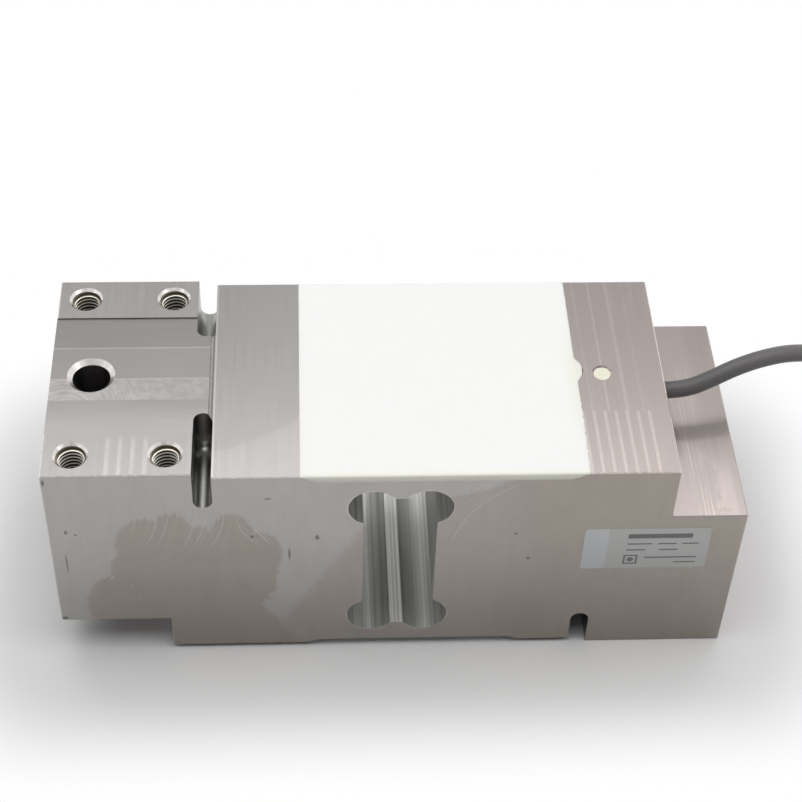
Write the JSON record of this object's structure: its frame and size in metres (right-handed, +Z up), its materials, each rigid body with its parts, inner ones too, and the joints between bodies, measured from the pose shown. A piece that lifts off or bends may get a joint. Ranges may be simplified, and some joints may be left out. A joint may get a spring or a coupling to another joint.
{
  "type": "single point load cell",
  "caption": "Milled aluminium single point load cell with a lobed flexure cutout, raised mounting pads, a filled gauge recess and a coiled signal cable.",
  "frame": {"origin": "under the middle of the block, on the plane of the foot's two mounting pads", "axes": "+X along the block, from the load platform to the foot and the cable; +Z up, out of the platform's pads; the rated face is at -Y"},
  "size_m": [0.331, 0.1018, 0.076],
  "materials": {
    "block": "milled",
    "white_compound": "matt",
    "cream_compound": "satin",
    "label": "satin foil",
    "jacket": "matt",
    "carrier_film": "gloss film",
    "foil": "etched",
    "terminal": "satin",
    "board": "satin",
    "resistor": "satin",
    "wire": "enamelled copper",
    "tinned": "tinned",
    "shield": "braided",
    "sleeve": "satin",
    "insulation_blue": "satin",
    "insulation_black": "satin",
    "insulation_white": "satin",
    "insulation_red": "satin",
    "insulation_green": "satin",
    "insulation_grey": "satin"
  },
  "bodies": {
    "root": {"measuring_body": "block", "top_cover_compound": "white_compound", "bottom_cover_compound": "white_compound", "fill_port_compound": "cream_compound", "rating_label": "label", "cable_inner_end": "jacket", "shield_fold": "shield", "terminal_strip_top": "terminal", "terminal_strip_bottom": "terminal", "bridge_board": "board", "trimming_resistors": "resistor", "gauge_wires_top": "wire", "gauge_wires_bottom": "wire", "board_wires": "wire", "link_wires": "wire", "cable_tube": "jacket", "cable_coil": "jacket", "cable_tail": "jacket", "end_sleeve": "sleeve", "shield_tail": "shield", "tinned_lead_ends": "tinned", "gauge_film_top_load_side": "carrier_film", "gauge_foil_top_load_side": "foil", "gauge_film_top_foot_side": "carrier_film", "gauge_foil_top_foot_side": "foil", "gauge_film_bottom_load_side": "carrier_film", "gauge_foil_bottom_load_side": "foil", "gauge_film_bottom_foot_side": "carrier_film", "gauge_foil_bottom_foot_side": "foil", "core_blue": "insulation_blue", "lead_blue": "insulation_blue", "core_black": "insulation_black", "lead_black": "insulation_black", "core_white": "insulation_white", "lead_white": "insulation_white", "core_red": "insulation_red", "lead_red": "insulation_red", "core_green": "insulation_green", "lead_green": "insulation_green", "core_grey": "insulation_grey", "lead_grey": "insulation_grey"}
  },
  "joints": []
}
